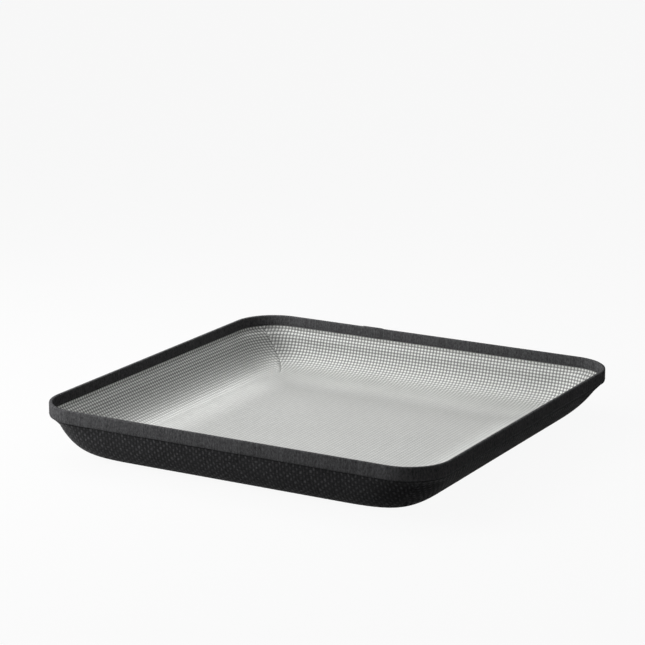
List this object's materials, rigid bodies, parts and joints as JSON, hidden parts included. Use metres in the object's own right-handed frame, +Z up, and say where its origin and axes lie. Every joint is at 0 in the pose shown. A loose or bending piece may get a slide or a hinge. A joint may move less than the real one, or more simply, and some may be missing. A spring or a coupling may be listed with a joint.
{
  "type": "grow tent floor tray",
  "caption": "Square soft spill tray with rounded corners: canvas outside, embossed reflective film inside, padded walls and a stiffened rim bound with webbing.",
  "frame": {"origin": "centre of the underside, which lies on the floor", "axes": "+Z up out of the open tray, +X to the right and -Y to the front, both square to the rim's sides"},
  "size_m": [0.6, 0.6007, 0.0757],
  "materials": {
    "canvas": "coarse black woven canvas",
    "film": "metallised film embossed with a fine square grid",
    "webbing": "ribbed black grosgrain webbing",
    "strip_plastic": "extruded plastic strip, hidden in the rim",
    "foam": "closed-cell foam sheet, hidden between the skins"
  },
  "bodies": {
    "root": {"outer_canvas": "canvas", "base_pad": "foam", "wall_pad_front": "foam", "wall_pad_right": "foam", "wall_pad_back": "foam", "wall_pad_left": "foam", "reflective_liner": "film", "rim_strip": "strip_plastic", "rim_binding": "webbing"}
  },
  "joints": []
}
